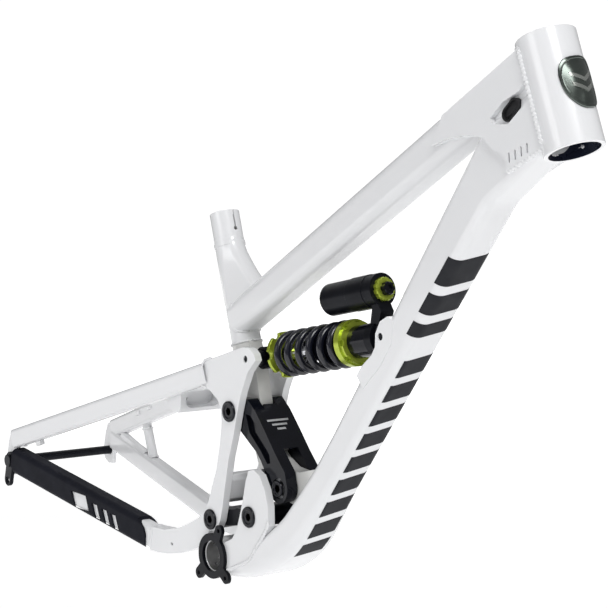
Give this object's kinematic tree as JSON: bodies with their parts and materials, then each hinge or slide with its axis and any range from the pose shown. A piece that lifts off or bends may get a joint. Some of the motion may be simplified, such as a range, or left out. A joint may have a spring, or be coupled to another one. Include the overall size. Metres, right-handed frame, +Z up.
{
  "type": "bicycle frame",
  "caption": "Full suspension bicycle frame: front triangle, rear triangle on two short links, and a coil shock with a side reservoir.",
  "frame": {"origin": "middle of the bottom bracket shell, on its axis", "axes": "+X forward, +Y to the left of the bicycle, +Z up; the chain side is -Y"},
  "size_m": [0.9633, 0.1762, 0.6715],
  "materials": {
    "frame_paint": "gloss",
    "mast_metal": "satin",
    "black_anodised": "satin",
    "lime_anodised": "satin",
    "red_anodised": "satin",
    "badge_metal": "polished",
    "bolt_steel": "satin",
    "chrome_shaft": "polished",
    "spring_black": "gloss",
    "guard_rubber": "matte",
    "bump_rubber": "matte",
    "black_plastic": "matte"
  },
  "bodies": {
    "front_triangle": {"head_tube": "frame_paint", "top_tube": "frame_paint", "down_tube": "frame_paint", "seat_tube": "frame_paint", "seat_gusset": "frame_paint", "seat_mast": "mast_metal", "bb_shell": "frame_paint", "yoke_right": "frame_paint", "yoke_left": "frame_paint", "head_gusset_right": "frame_paint", "head_gusset_left": "frame_paint", "cable_ports": "black_plastic", "shock_mount": "frame_paint", "chainguide_plate": "black_anodised", "head_badge": "badge_metal", "pivot_axles_frame": "black_anodised", "shock_front_bolt": "bolt_steel"},
    "rear_triangle": {"upright_right": "frame_paint", "upright_left": "frame_paint", "seatstay_right": "frame_paint", "seatstay_left": "frame_paint", "chainstay_right": "frame_paint", "chainstay_left": "frame_paint", "stay_yoke_right": "frame_paint", "stay_yoke_left": "frame_paint", "upright_bridge": "frame_paint", "seatstay_bridge": "frame_paint", "dropout_right": "frame_paint", "dropout_left": "frame_paint", "brake_brace": "frame_paint", "hanger": "black_anodised", "rear_axle": "black_anodised", "chainstay_guard": "guard_rubber", "hose_clips": "frame_paint", "pivot_bolts_rear": "black_anodised", "shock_rear_bolt": "bolt_steel"},
    "upper_link_body": {"upper_link": "black_anodised", "upper_link_bearings": "bolt_steel"},
    "lower_link_body": {"lower_link": "black_anodised", "lower_link_bearings": "bolt_steel"},
    "shock_body": {"shock_head": "black_anodised", "damper_tube": "black_anodised", "reservoir": "black_anodised", "reservoir_cap": "lime_anodised", "coil_spring": "spring_black"},
    "shock_rod": {"shock_shaft": "chrome_shaft", "rear_eye": "black_anodised", "spring_seat": "lime_anodised", "bump_stop": "bump_rubber"},
    "collar": {"preload_collar": "lime_anodised"},
    "compression_adjuster": {"knob_compression": "lime_anodised"},
    "rebound_adjuster": {"knob_rebound": "red_anodised"}
  },
  "joints": [
    {"name": "suspension", "type": "hinge", "parent": "front_triangle", "child": "upper_link_body", "pos_m": [0.102, 0, 0.107], "axis": [0, 1, 0], "range_deg": [0, 26.75]},
    {"name": "rear_pivot", "type": "hinge", "parent": "upper_link_body", "child": "rear_triangle", "pos_m": [0.012, 0, 0.178], "axis": [0, 1, 0], "range_deg": [-8.3, 0]},
    {"name": "lower_pivot", "type": "hinge", "parent": "front_triangle", "child": "lower_link_body", "pos_m": [0.065, 0, 0.065], "axis": [0, 1, 0], "range_deg": [0, 34.7]},
    {"name": "shock_pivot", "type": "hinge", "parent": "front_triangle", "child": "shock_body", "pos_m": [0.258, 0, 0.31], "axis": [0, 1, 0], "range_deg": [0, 1.9]},
    {"name": "shock_stroke", "type": "slide", "parent": "shock_body", "child": "shock_rod", "axis": [0.9594, 0, 0.2822], "range_m": [0, 0.0655], "deforming": ["coil_spring"]},
    {"name": "collar_turn", "type": "hinge", "parent": "shock_body", "child": "collar", "pos_m": [0.18858, 0, 0.28958], "axis": [0.9594, 0, 0.2822], "continuous": true},
    {"name": "compression_turn", "type": "hinge", "parent": "shock_body", "child": "compression_adjuster", "pos_m": [0.23175, 0, 0.35544], "axis": [0.9594, 0, 0.2822], "range_deg": [-270, 0]},
    {"name": "rebound_turn", "type": "hinge", "parent": "shock_rod", "child": "rebound_adjuster", "pos_m": [0.05275, 0, 0.234], "axis": [-0.2822, 0, 0.9594], "range_deg": [-270, 0]}
  ],
  "couplings": [
    {"joint": "rear_pivot", "follows": "suspension", "ratio": -0.3063},
    {"joint": "lower_pivot", "follows": "suspension", "ratio": 1.2893},
    {"joint": "shock_pivot", "follows": "suspension", "ratio": 0.0684},
    {"joint": "shock_stroke", "follows": "suspension", "m_per_rad": 0.1388}
  ]
}
